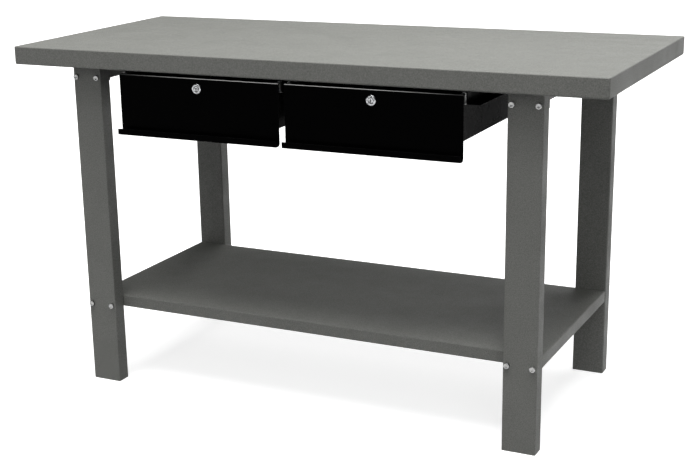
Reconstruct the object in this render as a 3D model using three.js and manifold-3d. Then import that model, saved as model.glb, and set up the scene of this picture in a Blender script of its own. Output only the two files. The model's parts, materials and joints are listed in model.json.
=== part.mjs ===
// Steel workbench with two drawers under its top, in millimetres.
// +X runs along the bench to its right, +Y to its back, +Z up. The origin is on the floor, under the
// middle of the bench's box, which the drawer pulls make a little deeper at the front.
import * as THREE from "three";
import { mergeVertices } from "three/addons/utils/BufferGeometryUtils.js";
import Module from "manifold-3d";

const wasm = await Module();
wasm.setup();

// ---- Driving dimensions ----

// The whole bench
const benchLength = 1500;
const benchDepth = 672;
const benchHeight = 868;
const touchGap = 0.3; // between two pieces that rest on each other
const cutPast = 1; // how far a cut or a joined stub runs past the face it meets

// Worktop: a pan of folded sheet, open below
const topHeight = 45;
const topSheet = 2;
const topBend = 3.5;
const topFootBend = 4;
const topLip = 22;

// Two hat-shaped rails inside the worktop
const railWidth = 80;
const railSheet = 1.5;
const railFlange = 15;
const railFromEdge = 146; // from the worktop's front or back edge to the rail's middle
const railEndGap = 1;

// Legs: rectangular tube
const legWidth = 80;
const legThickness = 40;
const legWall = 2;
const legBend = 3;
const legEndInset = 148;
const legFaceInset = 38;
const plugHeight = 16;
const plugWall = 3;

// Beams between the front and rear legs, right under the worktop
const beamHeight = 33;
const beamSideInset = 0.5;
const beamOuterInset = 20; // from the legs' outer sides to the beam's outer web
const beamSheet = 1.5;
const beamPlate = 3;
const beamPlateHeight = 39;

// Shelf: a pan of folded sheet with a hat-shaped stiffener under it
const shelfTop = 225;
const shelfHeight = 30;
const shelfSheet = 1.5;
const shelfBend = 3;
const shelfLip = 12;
const shelfEndInset = 1;
const stiffenerWidth = 100;
const stiffenerHeight = 22;
const stiffenerFlange = 15;
const stiffenerEndGap = 1.5;

// Leg bolts: two side by side through each leg, at the beam and at the shelf
const boltRadius = 4;
const boltHeadAcross = 13;
const boltHeadHeight = 5.3;
const boltNutHeight = 6.5;
const boltPastNut = 5;
const boltSpacing = 60;
const boltHoleGap = 0.5;
const boltSides = 12;
const boltHoleSides = 16;
const beamBoltDrop = 28; // from the worktop's underside
const shelfBoltDrop = 18; // from the shelf's top

// Drawers
const drawerToLeg = 83.5; // from the drawers' outer sides to the legs
const drawerGap = 15;
const drawerTopGap = 8; // from the worktop's underside
const drawerSheet = 1.2;
const frontHeight = 144;
const frontReturn = 12;
const pullReach = 19;
const pullHeight = 15;
const trayDepth = 460;
const trayHeight = 107;
const trayTopDrop = 2; // from the front's top edge
const traySideInset = 15;

// Slides: three members, the two outer ones channels that open towards the drawer
const slideLength = 450;
const slideHeight = 27;
const slideThickness = 12.7;
const slideSheet = 1.2;
const slideFromFront = 14;
const slideFromTop = 4.5; // from the worktop's underside to the slide's top edge
const outerBallGap = 1.8; // between the flanges of the fixed and the middle member
const innerBallGap = 1.3; // between the flanges of the middle and the drawer member
const middleMemberGap = 1; // between the webs of the fixed and the middle member
const channelLap = 5; // how far each channel's flanges reach

// Hangers that carry the slides
const hangerSheet = 1.5;
const hangerBelowSlide = 0.5;
const hangerFlange = { left: 12, right: 33 };
const hangerFromFront = 22;
const hangerPastRail = 34; // from the rear rail's middle to the hangers' back ends

// Cam lock in each drawer's front
const lockDrop = 24; // from the front's top edge
const barrelRadius = 9.5;
const barrelLength = 19;
const bezelLip = 2.5; // how far the bezel reaches past the barrel
const bezelThickness = 2.5;
const bezelChamfer = 1;
const lockHoleGap = 0.3;
const lockSides = 28;
const plugRadius = 6.2;
const plugProud = 0.5;
const plugChamfer = 0.5;
const plugRunningGap = 0.4;
const keySlotWidth = 1.8;
const keySlotLength = 8;
const keySlotDepth = 6;
const tailRadius = 4;
const tailLength = 5;
const camThickness = 2;
const camLength = 28; // from the lock's axis to the cam's tip
const camWidth = 12;
const camCurveSegments = 6;
const lockNutWall = 2.5;
const lockNutThickness = 4;

// Catch behind which the cam turns
const catchWidth = 50;
const catchSheet = 1.5;
const catchFromFront = 2.2;
const catchCamGap = 2;
const catchOverCam = 6; // clearance over the cam when it lies level

// ---- Worked out from the driving dimensions ----

const front = -benchDepth / 2;
const underside = benchHeight - topHeight;
const hungTop = underside - touchGap; // top of everything that meets the worktop from below
const halfLegSpan = benchLength / 2 - legEndInset;
const legCentre = halfLegSpan - legWidth / 2;
const legOuterFace = benchDepth / 2 - legFaceInset;
const legInnerFace = legOuterFace - legThickness;
const beamBoltHeight = underside - beamBoltDrop;
const shelfBoltHeight = shelfTop - shelfBoltDrop;
const boltThrough = legThickness + beamPlate + 2 * touchGap;
const boltLength = boltThrough + boltNutHeight + boltPastNut;
const drawerWidth = legCentre - legWidth / 2 - drawerToLeg - drawerGap / 2;
const drawerPitch = drawerWidth + drawerGap;
const frontTop = underside - drawerTopGap;
const frontFoot = frontTop - frontHeight;
const trayWidth = drawerWidth - 2 * traySideInset;
const trayFront = front + drawerSheet + touchGap;
const trayTop = frontTop - trayTopDrop;
const slideMiddle = underside - slideFromTop - slideHeight / 2;
const slideFront = front + slideFromFront;
const middleMemberHeight = slideHeight - 2 * (slideSheet + outerBallGap);
const drawerMemberHeight = middleMemberHeight - 2 * (slideSheet + innerBallGap);
const lockHeight = frontTop - lockDrop;
const camFront = front + barrelLength + touchGap + plugRunningGap;
const hangerFaceFromDrawer = trayWidth / 2 + slideThickness + 2 * touchGap;
const hangerFoot = slideMiddle - slideHeight / 2 - hangerBelowSlide;
const hangerReach = [front + hangerFromFront, -front - railFromEdge + hangerPastRail];

// ---- Materials ----

function finish(color, roughness, metalness) {
  return new THREE.MeshStandardMaterial({ color, roughness, metalness });
}

const greyPaint = finish(0x7d7e79, 0.6, 0.1);
const blackPaint = finish(0x0a0a0b, 0.3, 0.1);
const zinc = finish(0xb4b7ba, 0.35, 0.9);
const chrome = finish(0xd8dadc, 0.15, 1.0);
const greyPlastic = finish(0x3c3d3d, 0.6, 0.0);

// ---- Solids: three.js shapes, joined and cut ----

// A closed geometry as a solid that can be joined and cut
function solid(geometry) {
  const bare = new THREE.BufferGeometry();
  bare.setAttribute("position", geometry.getAttribute("position"));
  bare.setIndex(geometry.getIndex());
  const merged = mergeVertices(bare, 1e-4);
  return new wasm.Manifold(
    new wasm.Mesh({
      numProp: 3,
      vertProperties: merged.getAttribute("position").array,
      triVerts: new Uint32Array(merged.getIndex().array),
    }),
  );
}

function geometryOf(piece) {
  const mesh = piece.getMesh();
  const geometry = new THREE.BufferGeometry();
  geometry.setAttribute("position", new THREE.BufferAttribute(mesh.vertProperties, 3));
  geometry.setIndex(new THREE.BufferAttribute(mesh.triVerts, 1));
  geometry.computeVertexNormals();
  return geometry;
}

function block([x0, x1], [y0, y1], [z0, z1]) {
  const geometry = new THREE.BoxGeometry(x1 - x0, y1 - y0, z1 - z0);
  geometry.translate((x0 + x1) / 2, (y0 + y1) / 2, (z0 + z1) / 2);
  return solid(geometry);
}

// Turns a shape's own plane: along X it is drawn in Y and Z, along Y in X and Z, along Z in X and Y
const axisX = new THREE.Vector3(1, 0, 0);
const axisY = new THREE.Vector3(0, 1, 0);
const axisZ = new THREE.Vector3(0, 0, 1);
const turns = {
  x: new THREE.Matrix4().makeBasis(axisY, axisZ, axisX),
  y: new THREE.Matrix4().makeBasis(axisX, axisZ, axisY.clone().negate()),
  z: new THREE.Matrix4(),
};

function extrude(axis, shape, [from, to], curveSegments = 3) {
  const geometry = new THREE.ExtrudeGeometry(shape, {
    depth: to - from,
    bevelEnabled: false,
    curveSegments,
  });
  geometry.applyMatrix4(turns[axis]);
  const along = { x: axisX, y: axisY, z: axisZ }[axis];
  const start = axis === "y" ? to : from;
  geometry.translate(...along.clone().multiplyScalar(start).toArray());
  return solid(geometry);
}

// Rectangle whose lower and upper corners are rounded by radii of their own
function roundedRectangle([u0, u1], [v0, v1], lowerRadius, upperRadius = lowerRadius) {
  const shape = new THREE.Shape();
  const quarter = Math.PI / 2;
  shape.absarc(u1 - lowerRadius, v0 + lowerRadius, lowerRadius, -quarter, 0);
  shape.absarc(u1 - upperRadius, v1 - upperRadius, upperRadius, 0, quarter);
  shape.absarc(u0 + upperRadius, v1 - upperRadius, upperRadius, quarter, 2 * quarter);
  shape.absarc(u0 + lowerRadius, v0 + lowerRadius, lowerRadius, 2 * quarter, 3 * quarter);
  return shape;
}

// Section of a folded sheet: the path follows one face, and the sheet lies to the path's left
function foldedSheet(path, thickness) {
  const points = path.map(([u, v]) => new THREE.Vector2(u, v));
  const leftOf = (a, b) => {
    const along = b.clone().sub(a).normalize();
    return new THREE.Vector2(-along.y, along.x);
  };
  const otherFace = points.map((point, i) => {
    const before = i > 0 ? leftOf(points[i - 1], point) : null;
    const after = i < points.length - 1 ? leftOf(point, points[i + 1]) : null;
    const n1 = before ?? after;
    const n2 = after ?? before;
    const mitre = n1.clone().add(n2);
    return point.clone().add(mitre.multiplyScalar(thickness / (1 + n1.dot(n2))));
  });
  return new THREE.Shape([...points, ...otherFace.reverse()]);
}

// Round rod along Y
function rod(radius, [y0, y1], sides, x = 0, z = 0) {
  const geometry = new THREE.CylinderGeometry(radius, radius, y1 - y0, sides);
  geometry.translate(x, (y0 + y1) / 2, z);
  return solid(geometry);
}

// Hexagonal rod along Y, with two of its flats upright
function hexRod(acrossFlats, [y0, y1]) {
  const geometry = new THREE.CylinderGeometry(1, 1, y1 - y0, 6);
  const cornerRadius = acrossFlats / Math.sqrt(3);
  geometry.scale(cornerRadius, 1, cornerRadius);
  geometry.translate(0, (y0 + y1) / 2, 0);
  return solid(geometry);
}

// Ring or shaft turned about Y, from pairs of radius and place along Y
function turned(profile) {
  const points = profile.map(([radius, along]) => new THREE.Vector2(radius, along));
  return solid(new THREE.LatheGeometry(points, lockSides));
}

function piece(name, made, material) {
  const mesh = new THREE.Mesh(geometryOf(made), material);
  mesh.name = name;
  return mesh;
}

// ---- Worktop and shelf: pans folded from one sheet ----

// Block whose upright and upper edges are bent by one radius and whose lower edges by another
function bentBlock(xs, ys, zs, upperBend, lowerBend) {
  const plan = extrude("z", roundedRectangle(xs, ys, upperBend), zs);
  const frontView = extrude("y", roundedRectangle(xs, zs, lowerBend, upperBend), ys);
  const sideView = extrude("x", roundedRectangle(ys, zs, lowerBend, upperBend), xs);
  return plan.intersect(frontView).intersect(sideView);
}

function grow([low, high], by) {
  return [low - by, high + by];
}

function foldedPan({ xs, ys, zs, sheet, upperBend, lowerBend, lip }) {
  const outside = bentBlock(xs, ys, zs, upperBend, lowerBend);
  const inside = bentBlock(
    grow(xs, -sheet),
    grow(ys, -sheet),
    grow(zs, -sheet),
    upperBend - sheet,
    lowerBend - sheet,
  );
  const mouth = block(grow(xs, -lip), grow(ys, -lip), grow([zs[0], zs[0] + sheet], cutPast));
  return outside.subtract(inside).subtract(mouth);
}

function worktop() {
  const pan = foldedPan({
    xs: [-benchLength / 2, benchLength / 2],
    ys: [front, -front],
    zs: [underside, benchHeight],
    sheet: topSheet,
    upperBend: topBend,
    lowerBend: topFootBend,
    lip: topLip,
  });
  return piece("worktop", pan, greyPaint);
}

// Section of a hat channel that opens upwards, in a plane whose second axis is up
function hatChannel(middle, width, flange, [z0, z1], sheet) {
  const half = width / 2;
  const path = [
    [middle - half - flange + sheet, z1 - sheet],
    [middle - half, z1 - sheet],
    [middle - half, z0],
    [middle + half, z0],
    [middle + half, z1 - sheet],
    [middle + half + flange - sheet, z1 - sheet],
  ];
  return foldedSheet(path, sheet);
}

function topRail(name, side) {
  const middle = side * (benchDepth / 2 - railFromEdge);
  const top = benchHeight - topSheet - touchGap;
  const section = hatChannel(middle, railWidth, railFlange, [underside, top], railSheet);
  const halfLength = benchLength / 2 - topLip - railEndGap;
  return piece(name, extrude("x", section, [-halfLength, halfLength]), greyPaint);
}

function shelf() {
  const halfLength = halfLegSpan - shelfEndInset;
  const halfDepth = legInnerFace - touchGap;
  let pan = foldedPan({
    xs: [-halfLength, halfLength],
    ys: [-halfDepth, halfDepth],
    zs: [shelfTop - shelfHeight, shelfTop],
    sheet: shelfSheet,
    upperBend: shelfBend,
    lowerBend: shelfBend,
    lip: shelfLip,
  });
  for (const x of boltPlaces()) {
    for (const wall of [[-halfDepth, -halfDepth + shelfSheet], [halfDepth - shelfSheet, halfDepth]]) {
      pan = pan.subtract(boltHole(x, shelfBoltHeight, grow(wall, cutPast)));
    }
  }
  return piece("shelf", pan, greyPaint);
}

function shelfStiffener() {
  const top = shelfTop - shelfSheet - touchGap;
  const heights = [top - stiffenerHeight, top];
  const section = hatChannel(0, stiffenerWidth, stiffenerFlange, heights, shelfSheet);
  const halfLength = halfLegSpan - shelfEndInset - shelfSheet - stiffenerEndGap;
  return piece("shelf_stiffener", extrude("x", section, [-halfLength, halfLength]), greyPaint);
}

// ---- Legs, their plugs, and the beams that join them ----

function boltPlaces() {
  return [-1, 1].flatMap((side) => [
    side * legCentre - boltSpacing / 2,
    side * legCentre + boltSpacing / 2,
  ]);
}

function boltHole(x, z, ys) {
  return rod(boltRadius + boltHoleGap, ys, boltHoleSides, x, z);
}

// The leg stands at the origin of its own group
function leg(name) {
  const half = [legWidth / 2, legThickness / 2];
  const outline = roundedRectangle([-half[0], half[0]], [-half[1], half[1]], legBend);
  const inner = half.map((size) => size - legWall);
  const hollow = roundedRectangle([-inner[0], inner[0]], [-inner[1], inner[1]], legBend - legWall);
  outline.holes.push(hollow);
  let tube = extrude("z", outline, [0, hungTop]);
  for (const x of [-boltSpacing / 2, boltSpacing / 2]) {
    for (const z of [beamBoltHeight, shelfBoltHeight]) {
      tube = tube.subtract(boltHole(x, z, grow([-half[1], half[1]], cutPast)));
    }
  }
  return piece(name, tube, greyPaint);
}

function footPlug(name) {
  const width = legWidth / 2 - legWall - touchGap;
  const depth = legThickness / 2 - legWall - touchGap;
  const outline = roundedRectangle([-width, width], [-depth, depth], legBend - legWall);
  const pocket = block(
    [-width + plugWall, width - plugWall],
    [-depth + plugWall, depth - plugWall],
    [plugWall, plugHeight + cutPast],
  );
  return piece(name, extrude("z", outline, [0, plugHeight]).subtract(pocket), greyPlastic);
}

// Through bolt along +Y, its head's seat at the group's origin
function bolt(name) {
  const head = hexRod(boltHeadAcross, [-boltHeadHeight, 0]);
  const shank = rod(boltRadius, [-cutPast, boltLength], boltSides);
  return piece(name, head.add(shank), zinc);
}

function legGroup(frontOrRear, side) {
  const sideName = side < 0 ? "left" : "right";
  const place = `${frontOrRear}_${sideName}`;
  const group = new THREE.Group();
  group.add(leg(`leg_${place}`), footPlug(`foot_plug_${place}`));
  for (const [level, z] of [["beam", beamBoltHeight], ["shelf", shelfBoltHeight]]) {
    for (const across of [-1, 1]) {
      const end = across === side ? "outer" : "inner";
      const made = bolt(`bolt_${place}_${level}_${end}`);
      const turn = frontOrRear === "rear" ? -1 : 1;
      made.position.set((across * boltSpacing) / 2, turn * (-legThickness / 2 - touchGap), z);
      made.rotation.z = turn < 0 ? Math.PI : 0;
      group.add(made);
    }
  }
  const towardsBack = frontOrRear === "rear" ? 1 : -1;
  group.position.set(side * legCentre, towardsBack * (legOuterFace - legThickness / 2), 0);
  return group;
}

function endBeam(name, side) {
  const half = legWidth / 2 - beamSideInset;
  const webs = [-side * half, side * (legWidth / 2 - beamOuterInset)].sort((a, b) => a - b);
  const end = legInnerFace - touchGap;
  const foot = hungTop - beamHeight;
  const hollow = block(
    grow(webs, -beamSheet),
    grow([-end, end], -beamPlate / 2),
    [foot - cutPast, hungTop - beamSheet],
  );
  let beam = block(webs, [-end, end], [foot, hungTop]).subtract(hollow);
  for (const turn of [-1, 1]) {
    const faces = [turn * end, turn * (end - beamPlate)].sort((a, b) => a - b);
    beam = beam.add(block([-half, half], faces, [hungTop - beamPlateHeight, hungTop]));
    for (const x of [-boltSpacing / 2, boltSpacing / 2]) {
      beam = beam.subtract(boltHole(x, beamBoltHeight, grow(faces, cutPast)));
    }
  }
  const mesh = piece(name, beam, greyPaint);
  mesh.position.x = side * legCentre;
  return mesh;
}

// ---- Hangers and slides ----

// Channel on its side: its web faces the drawer and its flanges point away from it
function sideHanger(name, side) {
  const face = drawerPitch / 2 + hangerFaceFromDrawer;
  const edge = face + (side < 0 ? hangerFlange.left : hangerFlange.right);
  const path = [
    [side * edge, hangerFoot],
    [side * face, hangerFoot],
    [side * face, hungTop],
    [side * edge, hungTop],
  ];
  const ordered = side < 0 ? path : path.reverse();
  return piece(name, extrude("y", foldedSheet(ordered, hangerSheet), hangerReach), blackPaint);
}

// Channel between the drawers, open below
function middleHanger(name) {
  const half = drawerPitch / 2 - hangerFaceFromDrawer;
  const path = [
    [half, hangerFoot],
    [half, hungTop],
    [-half, hungTop],
    [-half, hangerFoot],
  ];
  return piece(name, extrude("y", foldedSheet(path, hangerSheet), hangerReach), blackPaint);
}

// Slide member: a channel that opens towards -X, its web from x = 0 to -slideSheet
function slideMember(name, height, flange) {
  const half = height / 2;
  const path = [
    [-flange, -half],
    [0, -half],
    [0, half],
    [-flange, half],
  ];
  return piece(name, extrude("y", foldedSheet(path, slideSheet), [0, slideLength]), zinc);
}

// Slide whose fixed member's web is at x = 0 and whose drawer member's web is at -slideThickness
function slide(name) {
  const fixed = slideMember(`${name}_fixed`, slideHeight, channelLap + slideSheet);
  const middle = slideMember(`${name}_middle`, middleMemberHeight, channelLap + 2 * slideSheet);
  middle.position.x = -slideSheet - middleMemberGap;
  const inner = slideMember(`${name}_drawer`, drawerMemberHeight, channelLap + slideSheet);
  inner.rotation.y = Math.PI;
  inner.position.x = -slideThickness;
  const group = new THREE.Group();
  group.add(fixed, middle, inner);
  return group;
}

function drawerSlides(sideName, side) {
  const group = new THREE.Group();
  for (const turn of [-1, 1]) {
    const made = slide(`${sideName}_${turn === side ? "outer" : "inner"}_slide`);
    made.position.x = turn * (trayWidth / 2 + slideThickness + touchGap);
    made.rotation.y = turn < 0 ? Math.PI : 0;
    group.add(made);
  }
  group.position.set(0, slideFront, slideMiddle);
  return group;
}

// ---- Drawers: each is drawn about its own middle, x = 0 ----

function lockHole(ys) {
  return rod(barrelRadius + lockHoleGap, ys, lockSides, 0, lockHeight);
}

function tray(name) {
  const half = trayWidth / 2;
  const ys = [trayFront, trayFront + trayDepth];
  const zs = [trayTop - trayHeight, trayTop];
  const outside = block([-half, half], ys, zs);
  const inside = block(
    grow([-half, half], -drawerSheet),
    grow(ys, -drawerSheet),
    [zs[0] + drawerSheet, zs[1] + cutPast],
  );
  const hole = lockHole(grow([trayFront, trayFront + drawerSheet], cutPast));
  return piece(name, outside.subtract(inside).subtract(hole), blackPaint);
}

// Front sheet: folded back along its top, and forward and up along its foot as a pull
function drawerFront(name) {
  const half = drawerWidth / 2;
  const path = [
    [front + frontReturn, frontTop],
    [front, frontTop],
    [front, frontFoot + drawerSheet],
    [front - pullReach + drawerSheet, frontFoot + drawerSheet],
    [front - pullReach + drawerSheet, frontFoot + pullHeight],
  ];
  const sheet = foldedSheet(path, drawerSheet);
  const made = extrude("x", sheet, [-half, half]);
  const hole = lockHole(grow([front, front + drawerSheet], cutPast));
  return piece(name, made.subtract(hole), blackPaint);
}

// ---- Locks: each is drawn about its axis, y = 0 at the drawer front's face ----

function lockBarrel(name) {
  const bore = plugRadius + plugRunningGap;
  const bezelRadius = barrelRadius + bezelLip;
  const face = -touchGap - bezelThickness;
  const profile = [
    [bore, face],
    [bezelRadius - bezelChamfer, face],
    [bezelRadius, face + bezelChamfer],
    [bezelRadius, -touchGap],
    [barrelRadius, -touchGap],
    [barrelRadius, barrelLength],
    [bore, barrelLength],
    [bore, face],
  ];
  return piece(name, turned(profile), chrome);
}

function lockPlug(name) {
  const face = -touchGap - bezelThickness - plugProud;
  const shoulder = barrelLength + plugRunningGap;
  const profile = [
    [0, face],
    [plugRadius - plugChamfer, face],
    [plugRadius, face + plugChamfer],
    [plugRadius, shoulder],
    [tailRadius, shoulder],
    [tailRadius, shoulder + tailLength],
    [0, shoulder + tailLength],
  ];
  const slot = block(
    [-keySlotWidth / 2, keySlotWidth / 2],
    [face - cutPast, face + keySlotDepth],
    [-keySlotLength / 2, keySlotLength / 2],
  );
  return piece(name, turned(profile).subtract(slot), chrome);
}

// Flat bar that lies level towards +X when the lock is open
function lockCam(name) {
  const round = camWidth / 2;
  const bar = new THREE.Shape();
  bar.absarc(camLength - round, 0, round, -Math.PI / 2, Math.PI / 2);
  bar.absarc(0, 0, round, Math.PI / 2, (3 * Math.PI) / 2);
  const hole = new THREE.Path();
  hole.absarc(0, 0, tailRadius + touchGap, 0, 2 * Math.PI);
  bar.holes.push(hole);
  const start = camFront - front;
  return piece(name, extrude("y", bar, [start, start + camThickness], camCurveSegments), zinc);
}

function lockNut(name) {
  const seat = trayFront + drawerSheet + touchGap - front;
  const reach = [seat, seat + lockNutThickness];
  const boreRadius = barrelRadius + lockHoleGap;
  const bore = rod(boreRadius, grow(reach, cutPast), lockSides);
  return piece(name, hexRod(2 * (barrelRadius + lockNutWall), reach).subtract(bore), zinc);
}

function lock(sideName) {
  const group = new THREE.Group();
  group.add(
    lockBarrel(`${sideName}_lock_barrel`),
    lockPlug(`${sideName}_lock_plug`),
    lockCam(`${sideName}_lock_cam`),
    lockNut(`${sideName}_lock_nut`),
  );
  group.position.set(0, front, lockHeight);
  return group;
}

// Angle under the worktop's front lip, with its upright leaf in front of the locked cam
function lockCatch(name) {
  const back = camFront - catchCamGap;
  const foot = lockHeight + camWidth / 2 + catchOverCam;
  const path = [
    [back, foot],
    [back, hungTop],
    [front + catchFromFront, hungTop],
  ];
  const section = foldedSheet(path, catchSheet);
  return piece(name, extrude("x", section, [-catchWidth / 2, catchWidth / 2]), blackPaint);
}

function drawerGroup(sideName, side) {
  const group = new THREE.Group();
  group.add(
    tray(`${sideName}_drawer_tray`),
    drawerFront(`${sideName}_drawer_front`),
    drawerSlides(sideName, side),
    lock(sideName),
    lockCatch(`${sideName}_lock_catch`),
  );
  group.position.x = (side * drawerPitch) / 2;
  return group;
}

// ---- The whole bench ----

const bench = new THREE.Group();
bench.add(worktop(), topRail("top_rail_front", -1), topRail("top_rail_rear", 1));
bench.add(shelf(), shelfStiffener(), middleHanger("slide_hanger_middle"));
for (const [sideName, side] of [["left", -1], ["right", 1]]) {
  bench.add(legGroup("front", side), legGroup("rear", side));
  bench.add(endBeam(`end_beam_${sideName}`, side));
  bench.add(sideHanger(`slide_hanger_${sideName}`, side));
  bench.add(drawerGroup(sideName, side));
}
bench.position.y = pullReach / 2;

export default bench;
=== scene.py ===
# %% [markdown]
# # A steel workbench with two drawers
# The bench is a folded sheet top on four tube legs, with a shelf low down and two black drawers
# side by side under the front. Every place and size comes from the frame, which holds the plain
# working model: each finished piece is built around the node that it stands for. Work in metres.

# %% Load the frame and note its size
import json
import math

import bmesh
import bpy
from mathutils import Matrix, Vector

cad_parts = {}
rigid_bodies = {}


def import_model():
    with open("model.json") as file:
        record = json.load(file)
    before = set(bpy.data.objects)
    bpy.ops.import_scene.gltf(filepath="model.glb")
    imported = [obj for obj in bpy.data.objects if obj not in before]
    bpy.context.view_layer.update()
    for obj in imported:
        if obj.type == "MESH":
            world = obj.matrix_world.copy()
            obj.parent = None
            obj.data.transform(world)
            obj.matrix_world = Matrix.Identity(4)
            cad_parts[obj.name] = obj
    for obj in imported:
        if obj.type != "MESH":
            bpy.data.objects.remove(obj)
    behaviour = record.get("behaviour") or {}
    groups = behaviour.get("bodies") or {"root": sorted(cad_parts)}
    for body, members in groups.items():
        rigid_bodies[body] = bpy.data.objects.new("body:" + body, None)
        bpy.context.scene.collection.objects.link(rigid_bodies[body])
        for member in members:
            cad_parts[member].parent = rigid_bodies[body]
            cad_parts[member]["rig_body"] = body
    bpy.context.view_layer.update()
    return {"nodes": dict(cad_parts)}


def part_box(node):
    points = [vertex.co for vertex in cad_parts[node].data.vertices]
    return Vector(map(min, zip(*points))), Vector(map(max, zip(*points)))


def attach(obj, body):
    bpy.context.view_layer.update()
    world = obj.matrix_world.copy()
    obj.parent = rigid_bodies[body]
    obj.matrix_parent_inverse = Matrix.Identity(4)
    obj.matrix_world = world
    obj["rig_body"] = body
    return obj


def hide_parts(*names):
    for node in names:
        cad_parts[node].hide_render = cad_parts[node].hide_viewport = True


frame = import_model()
MM = 0.001
SIDES = ("left", "right")

# %% [markdown]
# ## The camera
# A product is mostly shown from a little above eye level and a little to one side, with a long lens so
# that upright legs stay upright. The camera stands ahead of the bench and past its right end, about
# three and a half metres away. Its turn is built from the direction that it looks in and the direction
# that is up. The lens is shifted a twentieth of the frame's width to one side and less upwards, which
# moves the bench within the frame without turning the camera.

# %% Place the camera
def aim(thing, place, forward, up):
    back = -Vector(forward).normalized()
    right = Vector(up).cross(back).normalized()
    turn = Matrix((right, back.cross(right), back)).transposed()
    thing.matrix_world = Matrix.Translation(place) @ turn.to_4x4()


CAMERA_PLACE = (1.4664, -3.0346, 1.3164)
CAMERA_FORWARD = (-0.4399, 0.8521, -0.2835)
CAMERA_UP = (-0.1098, 0.2623, 0.9587)
lens = bpy.data.cameras.new("camera")
lens.sensor_width = 36.0
lens.lens = 70.71
lens.shift_x, lens.shift_y = 0.0547, 0.0356
camera = bpy.data.objects.new("camera", lens)
bpy.context.scene.collection.objects.link(camera)
aim(camera, CAMERA_PLACE, CAMERA_FORWARD, CAMERA_UP)
bpy.context.scene.camera = camera
print("camera at", [round(c, 3) for c in camera.matrix_world.translation])

# %% [markdown]
# ## Helpers for sheet metal
# Nearly every piece of the bench is sheet that a press has folded, so two helpers do most of the work.
# The first draws a fold's section as the middle line of the sheet, rounds its corners with arcs, gives
# it the sheet's thickness and pushes it along an axis. That suits channels, hats and angles, and it
# gives clean strips of quads.

# %% A folded strip
BEND_STEP = math.radians(15)
SAME_PLACE = 1e-6  # corners nearer than this, in metres, are one


def rounded_line(corners, bend):
    """The corner points with an arc of radius bend in place of each inner corner."""
    points = [Vector(c) for c in corners]
    line = [points[0]]
    for before, corner, after in zip(points, points[1:], points[2:]):
        into, out = (corner - before).normalized(), (after - corner).normalized()
        turn = math.atan2(into.x * out.y - into.y * out.x, into.dot(out))
        side = Vector((-into.y, into.x)) * math.copysign(bend, turn)
        centre = corner - into * bend * math.tan(abs(turn) / 2) + side
        steps = max(1, round(abs(turn) / BEND_STEP))
        for i in range(steps + 1):
            line.append(centre + Matrix.Rotation(turn * i / steps, 2) @ -side)
    return line + [points[-1]]


def both_faces(line, thickness):
    """The two faces of a sheet whose middle is the line."""
    left, right = [], []
    last = len(line) - 1
    for i, point in enumerate(line):
        into = (line[max(i, 1)] - line[max(i - 1, 0)]).normalized()
        out = (line[min(i + 1, last)] - line[min(i, last - 1)]).normalized()
        along = (into + out).normalized()
        reach = Vector((-along.y, along.x)) * thickness / 2 / along.dot(out)
        left.append(point + reach)
        right.append(point - reach)
    return left, right


AXES = {  # where a section's two numbers and the way along it go
    "x": lambda u, v, along: (along, u, v),
    "y": lambda u, v, along: (u, along, v),
    "z": lambda u, v, along: (u, v, along),
}


def mesh_of(name, corners, faces):
    mesh = bpy.data.meshes.new(name)
    mesh.from_pydata([tuple(c) for c in corners], [], faces)
    work = bmesh.new()
    work.from_mesh(mesh)
    bmesh.ops.remove_doubles(work, verts=work.verts, dist=SAME_PLACE)
    bmesh.ops.recalc_face_normals(work, faces=work.faces)
    work.to_mesh(mesh)
    work.free()
    return mesh


def folded_strip(name, corners, thickness, bend, axis, reach, tube=False):
    """Sheet folded along the corners of its middle line, then run along an axis. A tube's line ends
    where it starts, so it has no faces there."""
    left, right = both_faces(rounded_line(corners, bend), thickness)
    ring = left + right[::-1]
    count = len(ring)
    places = [AXES[axis](p.x, p.y, end) for end in reach for p in ring]
    tips = (len(left) - 1, count - 1) if tube else ()
    sides = [i for i in range(count) if i not in tips]
    faces = [(i, (i + 1) % count, (i + 1) % count + count, i + count) for i in sides]
    for start in (0, count):
        for i in range(len(left) - 1):
            faces.append((start + i, start + i + 1, start + count - 2 - i, start + count - 1 - i))
    return mesh_of(name, places, faces)


# %% [markdown]
# The second helper makes pans, trays and fronts, whose folds meet at corners. It starts from the flat
# skin of the piece, gives each folded edge a bevel as wide as its bend, and then grows the skin inwards
# to the sheet's thickness. Bevel and Solidify stay as modifiers until the piece is settled.

# %% A folded skin, and settling a piece
BEND_SEGMENTS = 6


def folded_skin(name, corners, faces, bends, thickness, facing=Vector((0, 0, 1))):
    """bends is a list of (test, radius), where the test takes an edge's two ends. The first face looks
    the way that facing says, and the sheet grows behind it."""
    mesh = mesh_of(name, corners, faces)
    if mesh.polygons[0].normal.dot(facing) < 0:
        mesh.flip_normals()
    widest = max(radius for _, radius in bends)
    weights = mesh.attributes.new("bevel_weight_edge", "FLOAT", "EDGE")
    for edge in mesh.edges:
        ends = [mesh.vertices[v].co for v in edge.vertices]
        for test, radius in bends:
            if test(*ends):
                weights.data[edge.index].value = radius / widest
    piece = bpy.data.objects.new(name, mesh)
    bpy.context.scene.collection.objects.link(piece)
    rounding = piece.modifiers.new("bends", "BEVEL")
    rounding.limit_method = "WEIGHT"
    rounding.width = widest
    rounding.segments = BEND_SEGMENTS
    rounding.use_clamp_overlap = False
    growing = piece.modifiers.new("sheet", "SOLIDIFY")
    growing.thickness = thickness
    growing.offset = -1
    growing.use_even_offset = True
    return settle(piece)


def settle(piece):
    """Turns the piece with its modifiers into a plain mesh."""
    bpy.context.view_layer.update()
    seen = piece.evaluated_get(bpy.context.evaluated_depsgraph_get())
    mesh = bpy.data.meshes.new_from_object(seen)
    mesh.name = piece.name
    bpy.data.objects.remove(piece)
    return mesh


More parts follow.
